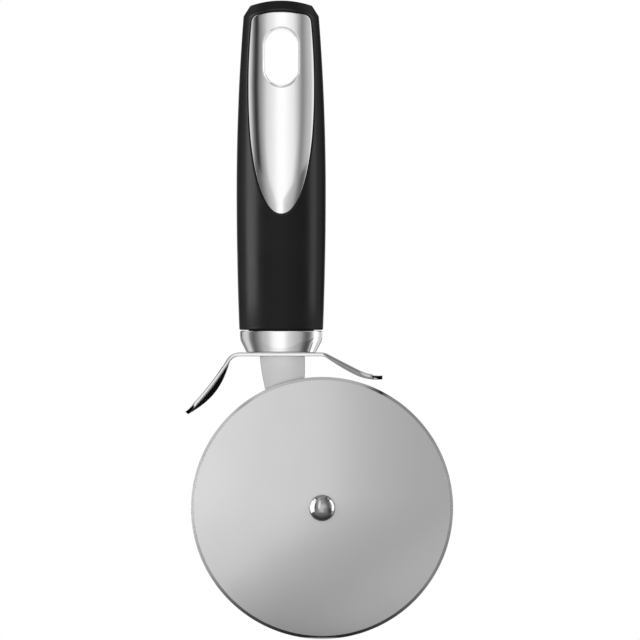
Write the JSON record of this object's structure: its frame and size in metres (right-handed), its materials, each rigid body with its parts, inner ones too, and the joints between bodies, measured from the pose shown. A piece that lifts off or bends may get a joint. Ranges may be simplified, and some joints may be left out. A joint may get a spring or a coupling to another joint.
{
  "type": "pizza cutter wheel",
  "caption": "Pizza cutter with a large flat steel wheel that spins on a rivet, a bent finger guard, and an oval soft-grip handle with polished inlays and a hanging slot.",
  "frame": {"origin": "centre of the hanging slot, midway between the handle's faces", "axes": "+Z along the handle, away from the wheel; +X towards the side that the wheel is offset to; -Y out of the front, the side with the rivet's domed head"},
  "size_m": [0.1039, 0.0256, 0.2475],
  "materials": {
    "soft_grip": "soft-touch satin moulding",
    "polished_steel": "mirror polished",
    "wheel_steel": "fine turned grain, satin",
    "arm_steel": "fine lengthwise grain, satin",
    "guard_steel": "stamped and tumbled, bright",
    "core_plastic": "glass-filled nylon, as moulded",
    "bush_plastic": "natural acetal",
    "seal_rubber": "soft silicone",
    "adhesive_foam": "acrylic foam pad",
    "epoxy": "cured amber film",
    "plain_steel": "plain turned or stamped"
  },
  "bodies": {
    "handle": {"grip": "soft_grip", "front_inlay": "polished_steel", "rear_inlay": "polished_steel", "hang_slot_liner": "polished_steel", "ferrule": "polished_steel", "axle_rivet": "polished_steel", "wheel_arm": "arm_steel", "finger_guard": "guard_steel", "core_front": "core_plastic", "core_rear": "core_plastic", "tang_seal": "seal_rubber", "ferrule_bond": "epoxy", "front_inlay_adhesive": "adhesive_foam", "rear_inlay_adhesive": "adhesive_foam", "tang_pins": "plain_steel", "front_washer": "plain_steel", "rear_washer": "plain_steel", "rivet_burr": "plain_steel"},
    "wheel": {"cutting_wheel": "wheel_steel", "wheel_bush": "bush_plastic"}
  },
  "joints": [
    {"name": "wheel_spin", "type": "hinge", "parent": "handle", "child": "wheel", "pos_m": [0.01585, -0.00305, -0.1748], "axis": [0, 1, 0], "continuous": true}
  ]
}
